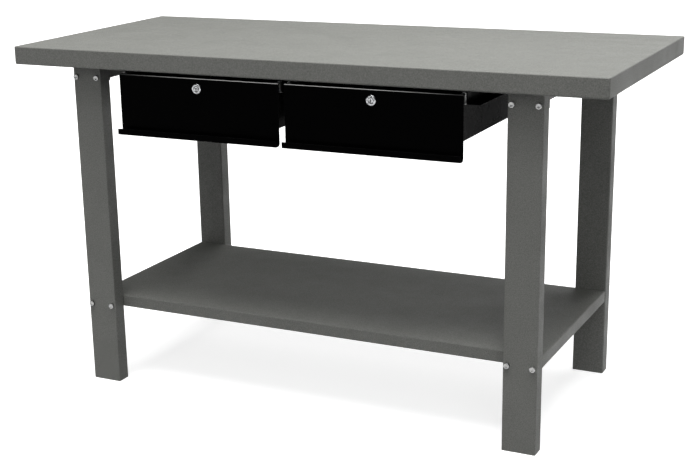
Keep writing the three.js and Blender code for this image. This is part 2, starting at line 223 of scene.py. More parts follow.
def bore(mesh, cutters):
    """Cuts the closed meshes in cutters out of a mesh."""
    piece = bpy.data.objects.new(mesh.name, mesh)
    tool = bpy.data.objects.new("cutter", cutters)
    for thing in (piece, tool):
        bpy.context.scene.collection.objects.link(thing)
    cut = piece.modifiers.new("holes", "BOOLEAN")
    cut.object = tool
    cut.solver = "EXACT"
    made = settle(piece)
    bpy.data.objects.remove(tool)
    return made


# %% [markdown]
# Bolts, nuts, locks and screws are turned or upset, so one more helper spins rings about an axis. A
# ring's radius may be a number, or a function of the angle, which is how a hexagon or a thread is made
# on the same grid of quads. The spun piece stands on the origin and points to the back, along +Y.

# %% A turned piece
def turned(name, rings, sides=48, ring_shaped=False):
    """rings is a list of (place along Y, radius); a ring_shaped piece closes on itself."""
    corners, faces = [], []
    for along, radius in rings:
        for i in range(sides):
            angle = 2 * math.pi * i / sides
            r = radius(angle) if callable(radius) else radius
            corners.append((r * math.cos(angle), along, r * math.sin(angle)))
    count = len(rings)
    for j in range(count if ring_shaped else count - 1):
        a, b = j * sides, (j + 1) % count * sides
        for i in range(sides):
            k = (i + 1) % sides
            faces.append((a + i, a + k, b + k, b + i))
    if not ring_shaped:
        last = (count - 1) * sides
        faces.append(tuple(range(sides)))
        faces.append(tuple(range(last + sides - 1, last - 1, -1)))
    return mesh_of(name, corners, faces)


def hexagon(across, reach=1.0):
    """Radius of a hexagon with flats above and below, but never more than reach allows."""
    def radius(angle):
        off_flat = (angle + math.pi / 6) % (math.pi / 3) - math.pi / 6
        return min(across / 2 / math.cos(off_flat), reach)
    return radius


def joined(name, meshes):
    """One mesh out of several."""
    work = bmesh.new()
    for mesh in meshes:
        work.from_mesh(mesh)
    made = bpy.data.meshes.new(name)
    work.to_mesh(made)
    work.free()
    return made


def moved(mesh, place, turn=None):
    """A copy of a mesh, turned and then moved."""
    made = mesh.copy()
    made.transform(Matrix.Translation(place) @ (turn or Matrix.Identity(4)))
    return made


def rod(radius, start, end, place=(0, 0, 0), sides=32):
    return moved(turned("rod", [(start, radius), (end, radius)], sides), place)


# %% [markdown]
# ## Putting a piece in its place
# Each finished piece gets its material and rides on the body that carries it, and the plain nodes that
# it stands for are hidden. Sharp edges are broken by a quarter of a millimetre, because a true knife edge
# never catches the light. Weighted normals then keep the broad faces flat while the bends beside them
# shade smoothly.

# %% Fit a finished piece
BROKEN_EDGE = 0.25 * MM


def soften(piece, width=BROKEN_EDGE, segments=2):
    broken = piece.modifiers.new("broken edges", "BEVEL")
    broken.limit_method = "ANGLE"
    broken.angle_limit = math.radians(50)
    broken.width = width
    broken.segments = segments
    level = piece.modifiers.new("flat faces", "WEIGHTED_NORMAL")
    level.weight = 80
    level.keep_sharp = True


def fit(mesh, finish, body, stands_for=(), edge=BROKEN_EDGE):
    piece = bpy.data.objects.new(mesh.name, mesh)
    bpy.context.scene.collection.objects.link(piece)
    material, slot = finish
    mesh.materials.clear()
    mesh.materials.append(material)
    mesh.shade_smooth()
    if edge:
        soften(piece, edge)
    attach(piece, body)
    if stands_for:
        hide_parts(*stands_for)
    return piece


def size_of(node):
    low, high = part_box(node)
    return " x ".join(f"{(high[i] - low[i]) / MM:.1f}" for i in range(3)) + " mm"


# %% [markdown]
# ## Finishes
# Five finishes cover the bench: grey textured powder coat, black gloss paint, zinc plate, chrome and
# moulded grey plastic. Each is a Principled shader whose colour, roughness and bump come from noise in
# the piece's own coordinates, so that the grain has the same size on every piece and needs no unwrapping.

# %% Small tools for building shaders
def new_finish(name, metallic=0.0, specular=0.5):
    material = bpy.data.materials.new(name)
    material.use_nodes = True
    shader = material.node_tree.nodes["Principled BSDF"]
    shader.inputs["Metallic"].default_value = metallic
    shader.inputs["Specular IOR Level"].default_value = specular
    return material, material.node_tree, shader


def add(tree, kind, inputs=None, **settings):
    node = tree.nodes.new("ShaderNode" + kind)
    for key, value in settings.items():
        setattr(node, key, value)
    for key, value in (inputs or {}).items():
        if isinstance(value, bpy.types.NodeSocket):
            tree.links.new(value, node.inputs[key])
        else:
            node.inputs[key].default_value = value
    return node


def grain(tree, size, detail=2.0, stretch=(1, 1, 1)):
    """Noise whose patches are about size metres across, longer where stretch is small."""
    place = add(tree, "TexCoord").outputs["Object"]
    if stretch != (1, 1, 1):
        place = add(tree, "Mapping", {"Vector": place, "Scale": stretch}).outputs["Vector"]
    inputs = {"Vector": place, "Scale": 1 / size, "Detail": detail}
    return add(tree, "TexNoise", inputs).outputs["Fac"]


def spread(tree, value, low, high, from_low=0.3, from_high=0.7):
    """Brings a noise, which mostly lies between 0.3 and 0.7, to the range low to high."""
    inputs = {"Value": value, "From Min": from_low, "From Max": from_high, "To Min": low, "To Max": high}
    return add(tree, "MapRange", inputs).outputs["Result"]


def blend(tree, amount, first, second):
    node = add(tree, "Mix", data_type="RGBA")
    for socket, value in ((0, amount), (6, first), (7, second)):
        if isinstance(value, bpy.types.NodeSocket):
            tree.links.new(value, node.inputs[socket])
        else:
            node.inputs[socket].default_value = value if socket == 0 else (*value, 1)
    return node.outputs[2]


def product(tree, first, second):
    return add(tree, "Math", {0: first, 1: second}, operation="MULTIPLY").outputs[0]


def rim(tree, reach):
    """1 along the edges of a piece, fading to 0 at the given distance."""
    rounded = add(tree, "Bevel", {"Radius": reach}, samples=4).outputs["Normal"]
    plain = add(tree, "NewGeometry").outputs["Normal"]
    alike = add(tree, "VectorMath", {0: rounded, 1: plain}, operation="DOT_PRODUCT").outputs["Value"]
    return spread(tree, alike, 0.0, 1.0, 0.995, 0.80)


def relief(tree, shader, height, depth):
    bump = add(tree, "Bump", {"Height": height, "Distance": depth})
    tree.links.new(bump.outputs["Normal"], shader.inputs["Normal"])


def connect(tree, shader, colour, roughness):
    tree.links.new(colour, shader.inputs["Base Color"])
    tree.links.new(roughness, shader.inputs["Roughness"])


# %% [markdown]
# ### Grey powder coat
# Powder is sprayed on dry and melts into a skin with a fine pebbled texture. Seen close it is a mix of
# lighter and darker grains a millimetre or two across. The edges, where the skin is thinnest and hands
# and tools rub it, are a little lighter, and broad faces vary slightly from handling and dust.

# %% Grey powder coat
def grey_powder_coat():
    material, tree, shader = new_finish("grey_powder_coat", specular=0.35)
    pebbles = grain(tree, 2.2 * MM, detail=3)
    grains = blend(tree, spread(tree, pebbles, 0, 1), (0.140, 0.142, 0.131), (0.265, 0.268, 0.249))
    handled = spread(tree, grain(tree, 0.35, detail=4), 0.0, 0.16)
    coloured = blend(tree, handled, grains, (0.270, 0.272, 0.256))
    patchy = spread(tree, grain(tree, 18 * MM, detail=3), 0.15, 1.0)
    worn = product(tree, rim(tree, 1.6 * MM), patchy)
    colour = blend(tree, product(tree, worn, 0.3), coloured, (0.38, 0.38, 0.365))
    roughness = spread(tree, grain(tree, 60 * MM, detail=4), 0.50, 0.66)
    connect(tree, shader, colour, roughness)
    relief(tree, shader, pebbles, 0.12 * MM)
    return material


# %% [markdown]
# ### Black gloss paint
# The drawers are dipped black and baked to a gloss. It is close to true black and mirrors only faintly,
# and faint wipe marks change only the gloss, not the colour. A painted highlight, a thin pale line in
# the colour along the outside of each front's top bend, stands in for the light caught there, and it
# fades towards the ends of the bench. The way that the surface faces, its height and its distance from
# the middle pick that line out.

# %% Black gloss paint
def painted_bend_highlight(tree, height):
    """Mask of the painted highlight: 1 on the outside of a front's top bend, fading towards the ends of the
    bench.
    """
    place = add(tree, "SeparateXYZ", {0: add(tree, "TexCoord").outputs["Object"]})
    facing = add(tree, "SeparateXYZ", {0: add(tree, "NewGeometry").outputs["Normal"]}).outputs["Z"]
    bend = product(tree, spread(tree, facing, 0, 1, 0.2, 0.5), spread(tree, facing, 1, 0, 0.90, 0.99))
    high = spread(tree, place.outputs["Z"], 0, 1, height, height + 0.4 * MM)
    aside = add(tree, "Math", {0: place.outputs["X"]}, operation="ABSOLUTE").outputs[0]
    highlight_fade_to_ends = spread(tree, aside, 1.0, 0.08, 0.22, 0.42)
    return product(tree, product(tree, bend, high), highlight_fade_to_ends)


def black_gloss_paint(name, painted_highlight_from=None):
    """Above the given height, where one is given, the outside of the top bend gets a pale painted
    highlight.
    """
    material, tree, shader = new_finish(name, specular=0.006)
    wiped = grain(tree, 40 * MM, detail=5, stretch=(0.35, 1, 1))
    dust = spread(tree, grain(tree, 3 * MM, detail=4), 0.0, 0.5)
    flat = blend(tree, dust, (0.0006, 0.0006, 0.0007), (0.0014, 0.0014, 0.0015))
    rubbed = spread(tree, grain(tree, 9 * MM, detail=3), 0.2, 1.0)
    worn = product(tree, rim(tree, 1.0 * MM), rubbed)
    colour = blend(tree, product(tree, worn, 0.5), flat, (0.055, 0.055, 0.058))
    if painted_highlight_from:
        # painted highlight: a pale line on the top bend, in place of the light caught there
        colour = blend(tree, painted_bend_highlight(tree, painted_highlight_from), colour, (0.45, 0.45, 0.44))
    connect(tree, shader, colour, spread(tree, wiped, 0.20, 0.36))
    relief(tree, shader, grain(tree, 5 * MM, detail=2), 0.03 * MM)
    return material


# %% [markdown]
# ### Zinc plate
# Bolts, nuts, screws and slides are zinc plated and have dulled to grey, faintly blue in places and
# yellow in others. The gloss changes from patch to patch. Cold rolling leaves fine lines along the slides.

# %% Zinc plate
def zinc_plate(name, lines=(1, 1, 1), roughness=(0.22, 0.42)):
    material, tree, shader = new_finish(name, metallic=1.0)
    patches = spread(tree, grain(tree, 6 * MM, detail=3), 0, 1)
    tint = blend(tree, patches, (0.20, 0.205, 0.215), (0.34, 0.335, 0.315))
    dull = spread(tree, grain(tree, 1.5 * MM, detail=4, stretch=lines), 0, 0.35)
    colour = blend(tree, dull, tint, (0.26, 0.265, 0.27))
    gloss = spread(tree, grain(tree, 4 * MM, detail=4, stretch=lines), *roughness)
    connect(tree, shader, colour, gloss)
    relief(tree, shader, grain(tree, 0.8 * MM, detail=3, stretch=lines), 0.02 * MM)
    return material


# %% [markdown]
# ### Chrome
# The lock faces are chromed, nearly a mirror. Their colour holds painted reflections: light and dark
# patches side by side, in place of what the mirror would show. Hair-fine scratches show where keys miss the
# slot.

# %% Chrome
def lock_chrome():
    material, tree, shader = new_finish("lock_chrome", metallic=1.0)
    patches = spread(tree, grain(tree, 5 * MM, detail=3), 0, 1)
    # painted reflections: dark and light patches in the chrome's colour
    colour = blend(tree, patches, (0.04, 0.04, 0.042), (0.50, 0.51, 0.52))
    scratched = grain(tree, 1.2 * MM, detail=5, stretch=(1, 1, 0.12))
    connect(tree, shader, colour, spread(tree, scratched, 0.08, 0.22))
    relief(tree, shader, scratched, 0.006 * MM)
    return material


# %% [markdown]
# ### Grey plastic
# The plugs in the feet are moulded, matt and a little scuffed.

# %% Grey plastic, and the bench's set of finishes
def moulded_plastic(name, dark, light):
    material, tree, shader = new_finish(name, specular=0.4)
    scuffed = spread(tree, grain(tree, 5 * MM, detail=4), 0, 1)
    connect(tree, shader, blend(tree, scuffed, dark, light), spread(tree, scuffed, 0.45, 0.65))
    relief(tree, shader, grain(tree, 0.7 * MM, detail=2), 0.04 * MM)
    return material


GREY = (grey_powder_coat(), "grey_paint")
BLACK = (black_gloss_paint("black_gloss_paint"), "black_paint")
# The fronts' black carries a painted highlight on the top bend, from this height up.
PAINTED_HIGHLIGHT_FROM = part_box("left_drawer_front")[1].z - 2 * MM
FRONT_BLACK_HIGHLIGHTED = (black_gloss_paint("black_paint_painted_highlight", PAINTED_HIGHLIGHT_FROM), "black_paint")
ZINC = (zinc_plate("zinc_plate"), "zinc_steel")
ROLLED = (zinc_plate("rolled_zinc", lines=(1, 0.03, 1), roughness=(0.28, 0.5)), "zinc_steel")
CHROME = (lock_chrome(), "chrome")
PLASTIC = (moulded_plastic("foot_plastic", (0.035, 0.036, 0.036), (0.060, 0.061, 0.060)), "grey_plastic")
print("finishes:", ", ".join(m.name for m, _ in (GREY, BLACK, FRONT_BLACK_HIGHLIGHTED, ZINC, ROLLED, CHROME, PLASTIC)))

# %% [markdown]
# ## The worktop
# One sheet, 2 mm thick, makes the whole top. Its edges are turned down 45 mm and then turned in again, so
# that hands meet a rounded edge. The lower bends are a little wider than the upper ones. A box with a
# Bevel on every edge would have one radius throughout, so the skin helper weights each fold by itself.

# %% Pans folded from one sheet
def at(axis, *values):
    """A test for edges that lie wholly at one of the values along an axis."""
    def test(a, b):
        return any(abs(a[axis] - v) < SAME_PLACE and abs(b[axis] - v) < SAME_PLACE for v in values)
    return test


def both(first, second):
    return lambda a, b: first(a, b) and second(a, b)


def upright(a, b):
    level = abs(a.z - b.z) <= SAME_PLACE
    return not level and abs(a.x - b.x) < SAME_PLACE and abs(a.y - b.y) < SAME_PLACE


def ring_at(low, high, z, inset=0.0):
    x0, x1, y0, y1 = low.x + inset, high.x - inset, low.y + inset, high.y - inset
    return [(x0, y0, z), (x1, y0, z), (x1, y1, z), (x0, y1, z)]


def open_pan(name, node, sheet, upper_bend, lower_bend, lip):
    """Pan that is open below, its edges turned in by the lip."""
    low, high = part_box(node)
    corners = ring_at(low, high, high.z) + ring_at(low, high, low.z) + ring_at(low, high, low.z, lip)
    faces = [(0, 1, 2, 3)]
    for i in range(4):
        k = (i + 1) % 4
        faces += [(i, i + 4, k + 4, k), (i + 4, i + 8, k + 8, k + 4)]
    outer = both(at(2, low.z), lambda a, b: at(0, low.x, high.x)(a, b) or at(1, low.y, high.y)(a, b))
    bends = [(at(2, high.z), upper_bend), (upright, upper_bend), (outer, lower_bend)]
    return folded_skin(name, corners, faces, bends, sheet)


# %% Make the worktop
TOP_SHEET = 2 * MM
TOP_UPPER_BEND = 3.5 * MM
TOP_LOWER_BEND = 4 * MM
TOP_LIP = 22 * MM
worktop = open_pan("worktop_sheet", "worktop", TOP_SHEET, TOP_UPPER_BEND, TOP_LOWER_BEND, TOP_LIP)
fit(worktop, GREY, "bench", ["worktop"])
print("worktop:", size_of("worktop"))

# %% [markdown]
# ## Rails under the worktop
# Two hat channels run along the inside of the worktop and keep it from sagging. They are spot welded
# through their flanges. Each weld leaves a shallow round dimple, so a row of them is pressed into a
# separate thin pattern of discs along each flange.

# %% Hat channels
RAIL_SHEET = 1.5 * MM
RAIL_BEND = 2 * MM
FLANGE = 15 * MM
WELD_SPACING = 110 * MM


def hat(name, node, sheet, bend, flange):
    """Hat channel along X that opens upwards, its flanges flat against the sheet above."""
    low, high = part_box(node)
    y0, y1, z0, z1 = low.y, high.y, low.z + sheet / 2, high.z - sheet / 2
    half = sheet / 2
    wall0, wall1 = y0 + flange - half, y1 - flange + half
    corners = [(y0, z1), (wall0, z1), (wall0, z0), (wall1, z0), (wall1, z1), (y1, z1)]
    return folded_strip(name, corners, sheet, bend, "x", (low.x, high.x))


def weld_dimples(name, node, flange, spacing, radius=3 * MM):
    """Shallow rings on the underside of a hat channel's flanges."""
    low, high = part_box(node)
    count = round((high.x - low.x) / spacing)
    ring = turned("ring", [(0, radius), (-0.25 * MM, radius * 0.8), (-0.1 * MM, radius * 0.45)], 20)
    downwards = Matrix.Rotation(math.radians(90), 4, "X")
    marks = []
    for y in (low.y + flange / 2, high.y - flange / 2):
        for i in range(count):
            x = low.x + (i + 0.5) * (high.x - low.x) / count
            marks.append(moved(ring, (x, y, high.z - RAIL_SHEET), downwards))
    return joined(name, marks)


# %% Make the rails
for end in ("front", "rear"):
    node = f"top_rail_{end}"
    fit(hat(f"{node}_hat", node, RAIL_SHEET, RAIL_BEND, FLANGE), GREY, "bench", [node])
    fit(weld_dimples(f"{node}_welds", node, FLANGE, WELD_SPACING), GREY, "bench", edge=0)
print("rails:", size_of("top_rail_front"))

# %% [markdown]
# ## The shelf
# The shelf is a shallower pan of the same kind, bolted between the legs, with a wide hat channel along
# its middle. Its long edges have a hole for each bolt that comes through a leg.

# %% Where the bolts pass
def middle_of(node):
    low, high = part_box(node)
    return (low + high) / 2


BOLTS = sorted(n for n in frame["nodes"] if n.startswith("bolt_"))
BOLT_RADIUS = 4 * MM
HOLE_RADIUS = 4.5 * MM


def bolt_holes(level, y_from, y_to, sign=0, ends=("front", "rear")):
    """Cutters for the bolts at one level, running from y_from to y_to."""
    rods = []
    for node in BOLTS:
        if level in node and node.split("_")[1] in ends:
            centre = middle_of(node)
            if sign * centre.x >= 0:
                rods.append(rod(HOLE_RADIUS, y_from, y_to, (centre.x, 0, centre.z)))
    return rods


# %% Make the shelf and its stiffener
SHELF_SHEET = 1.5 * MM
SHELF_BEND = 3 * MM
SHELF_LIP = 12 * MM
shelf = open_pan("shelf_sheet", "shelf", SHELF_SHEET, SHELF_BEND, SHELF_BEND, SHELF_LIP)
low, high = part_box("shelf")
cutters = bolt_holes("shelf", low.y - 2 * MM, low.y + 4 * MM)
cutters += bolt_holes("shelf", high.y - 4 * MM, high.y + 2 * MM)
shelf = bore(shelf, joined("cutters", cutters))
shelf.name = "shelf_sheet"
fit(shelf, GREY, "bench", ["shelf"])
stiffener = hat("shelf_stiffener_hat", "shelf_stiffener", RAIL_SHEET, RAIL_BEND, FLANGE)
fit(stiffener, GREY, "bench", ["shelf_stiffener"])
stiffener_welds = weld_dimples("shelf_stiffener_welds", "shelf_stiffener", FLANGE, WELD_SPACING)
fit(stiffener_welds, GREY, "bench", edge=0)
print("shelf:", size_of("shelf"))

# %% [markdown]
# ## The legs
# Each leg is a length of rectangular tube. A tube is only a folded strip whose line closes on itself, so
# the same helper makes it, and the bolt holes are then drilled through both of its broad walls. A plastic
# plug closes the foot. The plugs keep the frame's own shape, with their edges rounded.

# %% Make the legs
LEG_WALL = 2 * MM
LEG_BEND = 2.5 * MM


def leg(node):
    low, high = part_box(node)
    x0, x1 = low.x + LEG_WALL / 2, high.x - LEG_WALL / 2
    y0, y1 = low.y + LEG_WALL / 2, high.y - LEG_WALL / 2
    seam = (x0 + x1) / 2
    line = [(seam, y0), (x1, y0), (x1, y1), (x0, y1), (x0, y0), (seam, y0)]
    tube = folded_strip("tube", line, LEG_WALL, LEG_BEND, "z", (low.z, high.z), tube=True)
    end = node.split("_")[1]
    cutters = []
    for level in ("beam", "shelf"):
        cutters += bolt_holes(level, low.y - 1 * MM, high.y + 1 * MM, math.copysign(1, x0), (end,))
    made = bore(tube, joined("cutters", cutters))
    made.name = f"{node}_tube"
    return made


for node in sorted(n for n in frame["nodes"] if n.startswith("leg_")):
    fit(leg(node), GREY, "bench", [node])
    plug = frame["nodes"][node.replace("leg_", "foot_plug_")]
    plug.data.materials.clear()
    plug.data.materials.append(PLASTIC[0])
    soften(plug, 0.6 * MM, 3)
print("legs:", size_of("leg_front_left"))

# %% [markdown]
# ## End beams
# A channel joins each front leg to the rear one, right under the worktop. It keeps to the inner side of
# the legs. A thick plate is welded across each of its ends, and the two upper bolts pass through the leg
# and that plate.

# %% Make the end beams
def slab(low, high):
    corners = [(x, y, z) for z in (low[2], high[2]) for y in (low[1], high[1]) for x in (low[0], high[0])]
    faces = [(0, 1, 3, 2), (4, 6, 7, 5), (0, 4, 5, 1), (2, 3, 7, 6), (0, 2, 6, 4), (1, 5, 7, 3)]
    return mesh_of("slab", corners, faces)


def channel(name, low, high, opening, sheet, bend, reach=None):
    """Channel along Y inside the given corners, open to -x, +x or -z."""
    x0, x1, z0, z1 = low.x + sheet / 2, high.x - sheet / 2, low.z + sheet / 2, high.z - sheet / 2
    if opening == "-z":
        line = [(x0, low.z), (x0, z1), (x1, z1), (x1, low.z)]
    elif opening == "+x":
        line = [(high.x, z0), (x0, z0), (x0, z1), (high.x, z1)]
    else:
        line = [(low.x, z0), (x1, z0), (x1, z1), (low.x, z1)]
    return folded_strip(name, line, sheet, bend, "y", reach or (low.y, high.y))


BEAM_SHEET = 1.5 * MM
BEAM_BEND = 2 * MM
BEAM_PLATE = 3 * MM
BEAM_HEIGHT = 33 * MM
BEAM_TO_PLATE_END = 19.5 * MM  # from the beam's outer side to the outer ends of its plates
for side, sign in zip(SIDES, (-1, 1)):
    node = f"end_beam_{side}"
    low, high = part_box(node)
    foot, top = Vector((low.x, low.y, high.z - BEAM_HEIGHT)), high.copy()
    outer = foot if side == "left" else top
    outer.x -= sign * BEAM_TO_PLATE_END
    between = (low.y + BEAM_PLATE, high.y - BEAM_PLATE)
    beam = channel(f"{node}_channel", foot, top, "-z", BEAM_SHEET, BEAM_BEND, between)
    fit(beam, GREY, "bench", [node])
    for end, y0, y1 in (("front", low.y, low.y + BEAM_PLATE), ("rear", high.y - BEAM_PLATE, high.y)):
        holes = bolt_holes("beam", y0 - 1 * MM, y1 + 1 * MM, sign, (end,))
        plate = bore(slab((low.x, y0, low.z), (high.x, y1, high.z)), joined("cutters", holes))
        plate.name = f"{node}_plate_{end}"
        fit(plate, GREY, "bench", edge=0.6 * MM)
print("end beams:", size_of("end_beam_left"))

# %% [markdown]
# ## Hangers
# Black channels hang from the rails and carry the slides: one at each outer side, and one between the
# drawers that serves both.

# %% Make the hangers and the lock catches
HANGER_SHEET = 1.5 * MM
HANGER_BEND = 1.6 * MM
for place, opening in (("left", "-x"), ("right", "+x"), ("middle", "-z")):
    node = f"slide_hanger_{place}"
    hanger = channel(f"{node}_fold", *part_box(node), opening, HANGER_SHEET, HANGER_BEND)
    fit(hanger, BLACK, "bench", [node])


def catch(side):
    """Angle under the worktop's front lip: a flange forward and a leaf down, behind which the cam turns."""
    low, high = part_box(f"{side}_lock_catch")
    half = HANGER_SHEET / 2
    line = [(low.y, high.z - half), (high.y - half, high.z - half), (high.y - half, low.z)]
    name = f"{side}_lock_catch_angle"
    return folded_strip(name, line, HANGER_SHEET, HANGER_BEND, "x", (low.x, high.x))


for side in SIDES:
    fit(catch(side), BLACK, "bench", [f"{side}_lock_catch"])
print("hangers:", size_of("slide_hanger_middle"))

# %% [markdown]
# ## Drawer fronts
# A front is one sheet. Its top folds back as a flange, and its foot rolls forward and up into a long J,
# which is the pull. The inside of that roll is wide, so that fingers find it, and the lip is tight. The
# skin follows the face that is seen, and the sheet grows away from it, behind and below.

# %% Make the drawer fronts
DRAWER_SHEET = 1.2 * MM
FRONT_FLANGE = 12 * MM
PULL_HEIGHT = 15 * MM
ROLL = 6.8 * MM
TIGHT = 1.8 * MM
LOCK_HOLE_RADIUS = 9.8 * MM


def drawer_front(side):
    """The rows run from the flange's back edge over the top, down the face and up to the pull's lip."""
    low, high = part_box(f"{side}_drawer_front")
    face = high.y - FRONT_FLANGE
    floor = low.z + DRAWER_SHEET
    lip = low.y + DRAWER_SHEET
    rows = [(high.y, high.z), (face, high.z), (face, floor), (lip, floor), (lip, low.z + PULL_HEIGHT)]
    corners = [(x, y, z) for y, z in rows for x in (low.x, high.x)]
    faces = [(2 * i + 2, 2 * i + 3, 2 * i + 1, 2 * i) for i in (1, 2, 3, 0)]
    bends = [
        (both(at(1, face), at(2, high.z)), TIGHT),
        (both(at(1, face), at(2, floor)), ROLL),
        (both(at(1, lip), at(2, floor)), TIGHT),
    ]
    return folded_skin(f"{side}_drawer_face", corners, faces, bends, DRAWER_SHEET, Vector((0, -1, 0)))


def lock_hole(side):
    """Cutter for the lock's hole, from ahead of the front to behind the tray's front wall."""
    centre = middle_of(f"{side}_lock_plug")
    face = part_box("worktop")[0].y
    return rod(LOCK_HOLE_RADIUS, face - 3 * MM, face + 6 * MM, (centre.x, 0, centre.z))


for side in SIDES:
    made = bore(drawer_front(side), lock_hole(side))
    made.name = f"{side}_drawer_face"
    fit(made, FRONT_BLACK_HIGHLIGHTED, f"{side}_drawer", [f"{side}_drawer_front"])
print("drawer fronts:", size_of("left_drawer_front"))

# %% [markdown]
# ## Drawer trays
# Behind each front is a tray, again one sheet with its four walls folded up. Its rim would cut a hand, so
# the two sides and the back carry a hem, folded in and pressed flat.

# %% Make the trays
TRAY_BEND = 2 * MM


def tray(side):
    low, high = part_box(f"{side}_drawer_tray")
    corners = ring_at(low, high, low.z) + ring_at(low, high, high.z)
    faces = [(0, 3, 2, 1)] + [(i, (i + 1) % 4, (i + 1) % 4 + 4, i + 4) for i in range(4)]
    bends = [(at(2, low.z), TRAY_BEND), (upright, TRAY_BEND)]
    made = folded_skin("tray", corners, faces, bends, DRAWER_SHEET, Vector((0, 0, -1)))
    made = bore(made, lock_hole(side))
    made.name = f"{side}_drawer_tray_fold"
    return made


def hems(side):
    """Strips pressed flat inside the rim of the tray's sides and back."""
    low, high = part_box(f"{side}_drawer_tray")
    top, deep, wide = high.z - 0.2 * MM, 9 * MM, 1.1 * MM
    inner = DRAWER_SHEET + 0.1 * MM
    y0, y1 = low.y + 8 * MM, high.y - inner - wide - 0.4 * MM
    strips = [
        slab((low.x + inner, y0, top - deep), (low.x + inner + wide, y1, top)),
        slab((high.x - inner - wide, y0, top - deep), (high.x - inner, y1, top)),
        slab((low.x + 5 * MM, high.y - inner - wide, top - deep), (high.x - 5 * MM, high.y - inner, top)),
    ]
    return joined(f"{side}_tray_hems", strips)


for side in SIDES:
    fit(tray(side), BLACK, f"{side}_drawer", [f"{side}_drawer_tray"])
    fit(hems(side), BLACK, f"{side}_drawer", edge=0.4 * MM)
print("trays:", size_of("left_drawer_tray"))

# %% [markdown]
# ## Telescopic slides
# Each drawer runs on two slides of three members: one on the hanger, one on the tray, and one between
# that travels half as far. Steel balls in a cage roll above and below the middle member. The members are
# channels, cold rolled from zinced strip, and they ride on three different bodies.

# %% Slide members, cages and balls
SLIDE_SHEET = 1.2 * MM
SLIDE_BEND = 1.1 * MM
CAGE_HALF_WIDTH = 1.9 * MM
CAGE_HALF_SHEET = 0.3 * MM
CAGE_PAST_BALLS = 8 * MM
BALLS_IN_ROW = 16
SLIDES = sorted(n[: -len("_fixed")] for n in frame["nodes"] if n.endswith("_slide_fixed"))


def carrier(node):
    return frame["nodes"][node]["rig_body"]


def towards_tray(slide):
    """+1 if the tray lies on the slide's +X side."""
    return 1 if middle_of(f"{slide}_drawer").x > middle_of(f"{slide}_fixed").x else -1


def member(slide, part):
    node = f"{slide}_{part}"
    out = towards_tray(slide) * (-1 if part == "drawer" else 1)
    opening = "+x" if out > 0 else "-x"
    made = channel(f"{node}_rolled", *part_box(node), opening, SLIDE_SHEET, SLIDE_BEND)
    fit(made, ROLLED, carrier(node), [node])


def ball_cage(slide, above):
    """Strip of steel with a row of balls, between the middle member's flange and the fixed one's."""
    low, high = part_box(f"{slide}_middle")
    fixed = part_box(f"{slide}_fixed")[1].z - SLIDE_SHEET
    gap = fixed - high.z
    level = (fixed + high.z) / 2 if above else low.z - gap / 2
    centre = (low.x + high.x) / 2 + towards_tray(slide) * 1.4 * MM
    radius = gap / 2 - 0.05 * MM
    angles = [math.pi * i / 8 for i in range(9)]
    rings = [(-radius * math.cos(a), max(radius * math.sin(a), 0.01 * MM)) for a in angles]
    ball = turned("ball", rings, 16)
    start, end = low.y + 70 * MM, high.y - 90 * MM
    strip_low = (centre - CAGE_HALF_WIDTH, start - CAGE_PAST_BALLS, level - CAGE_HALF_SHEET)
    strip_high = (centre + CAGE_HALF_WIDTH, end + CAGE_PAST_BALLS, level + CAGE_HALF_SHEET)
    parts = [slab(strip_low, strip_high)]
    for i in range(BALLS_IN_ROW):
        parts.append(moved(ball, (centre, start + (end - start) * i / (BALLS_IN_ROW - 1), level)))
    where = "upper" if above else "lower"
    fit(joined(f"{slide}_cage_{where}", parts), ZINC, carrier(f"{slide}_middle"), edge=0)


for slide in SLIDES:
    for part in ("fixed", "middle", "drawer"):
        member(slide, part)
    for above in (True, False):
        ball_cage(slide, above)
print("slides:", len(SLIDES), "each", size_of(f"{SLIDES[0]}_fixed"))

# %% [markdown]
# ## Screws
# Low pan-head screws hold each slide to its hanger and to the tray. The cross in the head is two slots
# cut with a Boolean, done once, and every screw shares that one mesh.

# %% Pan-head screws
def pan_screw(radius=3.4 * MM, height=1.6 * MM):
    """Its seat is on the origin and its head points forward, along -Y."""
    rings = [(0, radius)]
    for i in range(7):
        angle = math.radians(90) * i / 6
        rings.append((-height * (0.3 + 0.7 * math.sin(angle)), radius * (0.25 + 0.75 * math.cos(angle))))
    head = turned("pan_screw", rings, 32)
    arm, wide = 1.9 * MM, 0.45 * MM
    slots = [slab((-arm, -2 * height, -wide), (arm, -0.5 * height, wide)),
             slab((-wide, -2 * height, -arm), (wide, -0.5 * height, arm))]
    for slot in slots:
        head = bore(head, slot)
    return head


SCREW = pan_screw()


def screws(name, places, facing, body):
    """Screws at the places, heads facing +x or -x."""
    turn = Matrix.Rotation(math.radians(90 if facing > 0 else -90), 4, "Z")
    fit(joined(name, [moved(SCREW, place, turn) for place in places]), ZINC, body, edge=0)


SCREW_SHARES = (0.09, 0.42, 0.84)  # how far along a member its screws sit
for slide in SLIDES:
    out = towards_tray(slide)
    for part, facing in (("fixed", out), ("drawer", -out)):
        low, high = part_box(f"{slide}_{part}")
        seat = low.x + SLIDE_SHEET if facing > 0 else high.x - SLIDE_SHEET
        z = (low.z + high.z) / 2
        ys = [low.y + share * (high.y - low.y) for share in SCREW_SHARES]
        screws(f"{slide}_{part}_screws", [(seat, y, z) for y in ys], facing, carrier(f"{slide}_{part}"))
print("screws:", len(SCREW_SHARES) * 2 * len(SLIDES))

# %% [markdown]
# ## Locks
# Each lock is a chromed barrel with a domed bezel, and a plug that turns in it. The plug carries the cam
# on its tail, behind the tray's wall, where a large nut holds the barrel. The bezel is drawn as a rounded
# section and spun; the keyhole is cut through the face of the plug.

